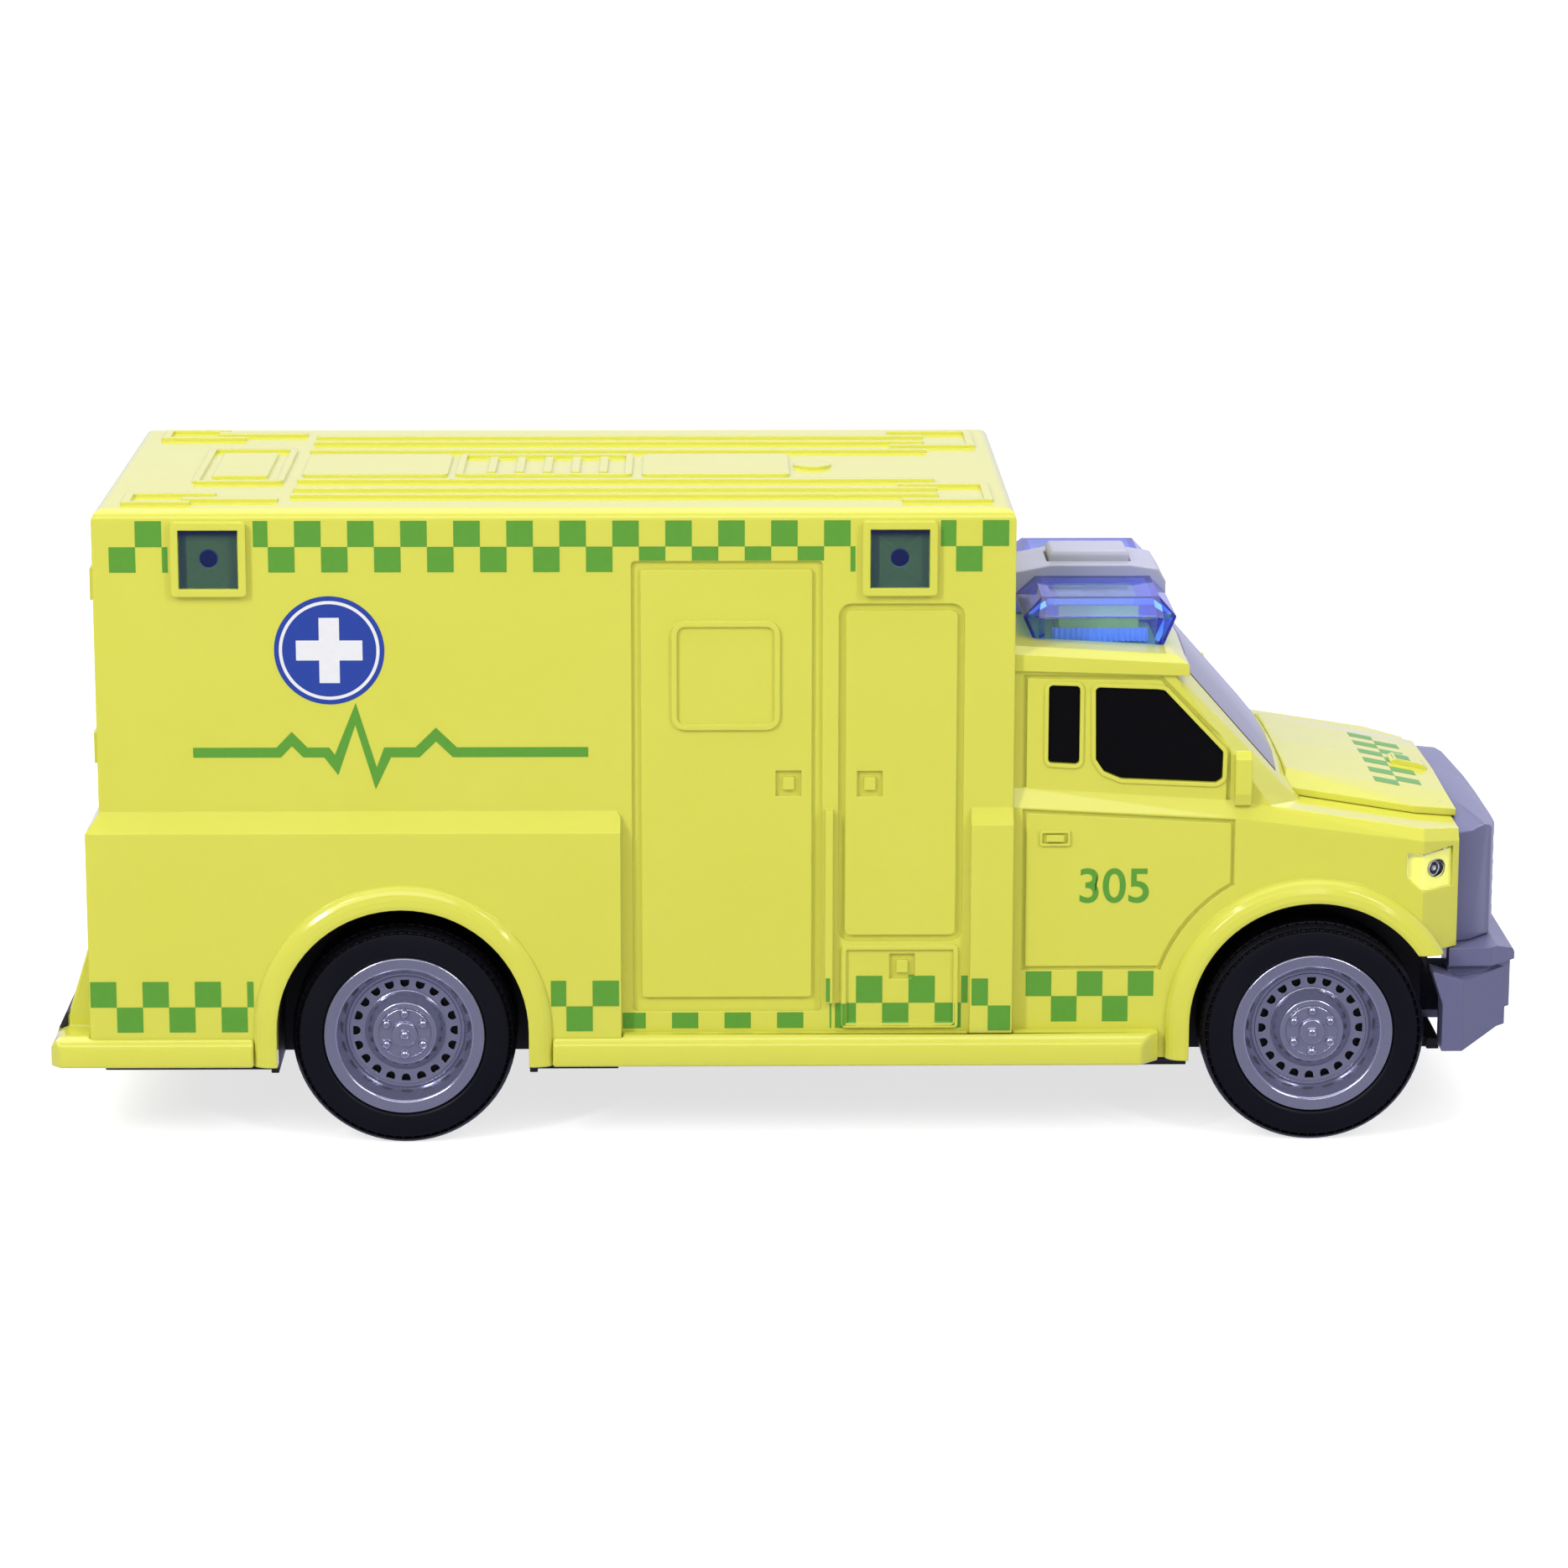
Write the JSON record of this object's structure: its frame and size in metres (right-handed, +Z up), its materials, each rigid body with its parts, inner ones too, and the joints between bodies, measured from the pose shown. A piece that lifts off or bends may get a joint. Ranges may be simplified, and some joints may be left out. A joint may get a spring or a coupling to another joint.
{
  "type": "toy ambulance",
  "caption": "Push-and-go toy ambulance: yellow body with moulded doors, blue light bar with a press button, rolling wheels and a friction motor.",
  "frame": {"origin": "on the ground under the middle of the toy's length and width", "axes": "+X forward along the vehicle, +Y to its left, +Z up"},
  "size_m": [0.28, 0.108, 0.1232],
  "materials": {
    "yellow_abs": "moulded gloss yellow",
    "grey_abs": "moulded satin grey",
    "black_pad": "matt black",
    "black_glazing": "polished black",
    "blue_lens": "clear blue",
    "clear_lens": "clear",
    "dome_rubber": "matt",
    "circuit_board": "lacquered",
    "blue_lamp": "clear",
    "black_pp": "moulded matt black",
    "motor_pp": "moulded natural",
    "steel": "plated",
    "contact_metal": "plated sheet",
    "speaker_black": "matt",
    "tyre_pvc": "soft matt black",
    "silver_rim": "satin silver",
    "gear_pom": "moulded white"
  },
  "bodies": {
    "body": {"box_shell": "yellow_abs", "cab_shell": "yellow_abs", "bonnet": "yellow_abs", "running_board_right": "yellow_abs", "running_board_left": "yellow_abs", "rear_step": "yellow_abs", "rear_pad": "black_pad", "grille": "grey_abs", "bumper": "grey_abs", "windscreen": "black_glazing", "side_window_right": "black_glazing", "side_window_left": "black_glazing", "saddle": "grey_abs", "bar_lens_right": "blue_lens", "bar_lens_left": "blue_lens", "dome": "dome_rubber", "bar_board": "circuit_board", "bar_leds": "blue_lamp", "lamp_lens_rear_right": "blue_lens", "lamp_lens_front_right": "blue_lens", "lamp_lens_rear_left": "blue_lens", "lamp_lens_front_left": "blue_lens", "headlamp_right": "clear_lens", "headlamp_left": "clear_lens", "chassis": "black_pp", "body_screws": "steel", "battery_door": "black_pp", "battery_screw": "steel", "button_cells": "steel", "cell_contacts": "contact_metal", "sound_board": "circuit_board", "speaker": "speaker_black", "motor_housing": "motor_pp", "motor_cover": "motor_pp", "motor_screws": "steel"},
    "front_wheelset": {"front_axle": "steel", "tyre_front_right": "tyre_pvc", "tyre_front_left": "tyre_pvc", "wheel_front_right": "silver_rim", "wheel_front_left": "silver_rim"},
    "rear_wheelset": {"rear_axle": "steel", "axle_gear": "gear_pom", "tyre_rear_right": "tyre_pvc", "tyre_rear_left": "tyre_pvc", "wheel_rear_right": "silver_rim", "wheel_rear_left": "silver_rim"},
    "cluster": {"cluster_gear": "gear_pom"},
    "flywheel": {"flywheel": "steel"},
    "button": {"button": "grey_abs"}
  },
  "joints": [
    {"name": "front_roll", "type": "hinge", "parent": "body", "child": "front_wheelset", "pos_m": [0.0996, 0, 0.0213], "axis": [0, 1, 0], "continuous": true},
    {"name": "rear_roll", "type": "hinge", "parent": "body", "child": "rear_wheelset", "pos_m": [-0.0733, 0, 0.0213], "axis": [0, 1, 0], "continuous": true},
    {"name": "cluster_spin", "type": "hinge", "parent": "body", "child": "cluster", "pos_m": [-0.06711, 0, 0.03015], "axis": [0, 1, 0], "continuous": true},
    {"name": "flywheel_spin", "type": "hinge", "parent": "body", "child": "flywheel", "pos_m": [-0.05571, 0, 0.03015], "axis": [0, 1, 0], "continuous": true},
    {"name": "button_press", "type": "slide", "parent": "body", "child": "button", "axis": [0, 0, -1], "range_m": [0, 0.0012], "stiffness_N_per_m": 300, "deforming": ["dome"]}
  ],
  "couplings": [
    {"joint": "cluster_spin", "follows": "rear_roll", "ratio": -2},
    {"joint": "flywheel_spin", "follows": "rear_roll", "ratio": 4.3333}
  ]
}
